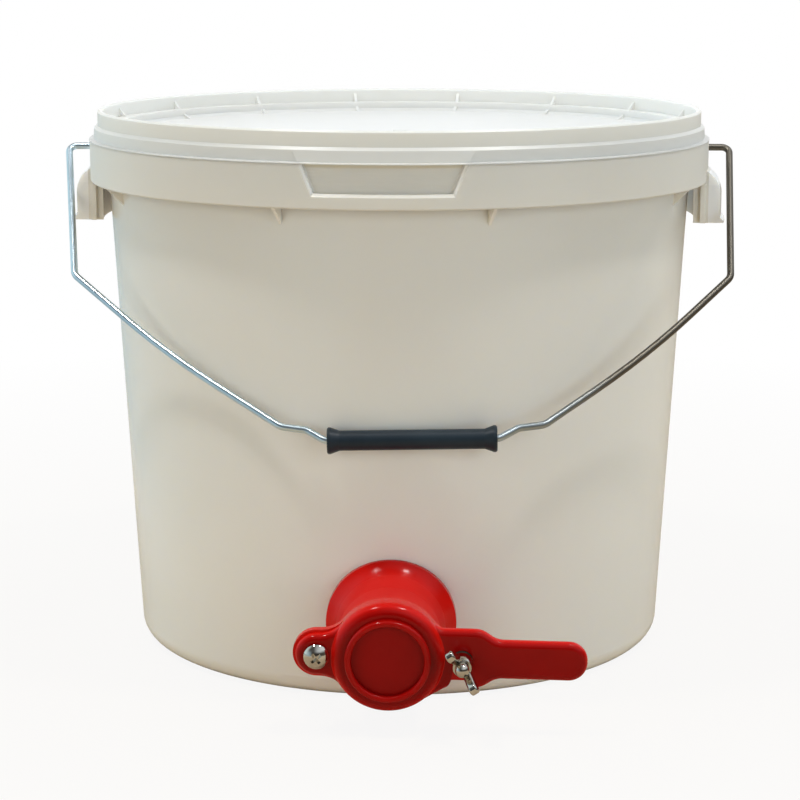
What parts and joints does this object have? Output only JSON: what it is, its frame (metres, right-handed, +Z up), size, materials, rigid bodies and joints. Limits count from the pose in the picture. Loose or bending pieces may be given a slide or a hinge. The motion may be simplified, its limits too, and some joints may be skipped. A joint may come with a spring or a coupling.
{
  "type": "honey settling bucket",
  "caption": "Round tapered plastic pail with a lift-off lid, a wire bail with a turning grip, and a swing-shutter honey gate held shut by a wing nut low on its front.",
  "frame": {"origin": "on the pail's axis, in the plane of the ring that it stands on", "axes": "+Z up along the pail's axis, -Y to the front where the gate is, X along the bail's pivots, +X to the right seen from the front"},
  "size_m": [0.3561, 0.3788, 0.284],
  "materials": {
    "pail_plastic": "natural cream-white moulded plastic, satin and slightly translucent",
    "lid_plastic": "white moulded plastic, satin",
    "zinc_wire": "zinc-plated drawn wire",
    "grip_plastic": "black moulded plastic, satin",
    "gate_plastic": "red moulded plastic, glossy",
    "gasket_rubber": "black food-grade rubber",
    "bright_steel": "bright zinc-plated steel"
  },
  "bodies": {
    "pail": {"pail": "pail_plastic", "gate_body": "gate_plastic", "gate_gasket": "gasket_rubber", "gate_nut": "gate_plastic", "pivot_screw": "bright_steel", "pivot_washer": "bright_steel", "pivot_nut": "bright_steel", "wing_bolt": "bright_steel"},
    "lid": {"lid": "lid_plastic"},
    "bail": {"bail_wire": "zinc_wire"},
    "grip": {"bail_grip": "grip_plastic"},
    "shutter": {"gate_shutter": "gate_plastic"},
    "washer": {"wing_washer": "bright_steel"},
    "wing_nut": {"wing_nut": "bright_steel"}
  },
  "joints": [
    {"name": "lid_lift", "type": "slide", "parent": "pail", "child": "lid", "axis": [0, 0, 1], "range_m": [0, 0.06]},
    {"name": "bail_swing", "type": "hinge", "parent": "pail", "child": "bail", "pos_m": [0, 0, 0.263], "axis": [-1, 0, 0], "range_deg": [0, 259]},
    {"name": "grip_spin", "type": "hinge", "parent": "bail", "child": "grip", "pos_m": [0.0105, -0.15335, 0.13523], "axis": [0.9997, 0.0185, 0.0154], "continuous": true},
    {"name": "shutter_swing", "type": "hinge", "parent": "pail", "child": "shutter", "pos_m": [-0.03379, -0.19433, 0.0391], "axis": [0, -0.9985, -0.055], "range_deg": [0, 100]},
    {"name": "washer_slide", "type": "slide", "parent": "pail", "child": "washer", "axis": [0, -0.9985, -0.055], "range_m": [0, 0.0026]},
    {"name": "wing_turn", "type": "hinge", "parent": "washer", "child": "wing_nut", "pos_m": [0.03519, -0.19543, 0.03735], "axis": [0, -0.9985, -0.055], "range_deg": [0, 720]}
  ],
  "couplings": [
    {"joint": "washer_slide", "follows": "wing_turn", "m_per_rad": 0.00020213}
  ]
}
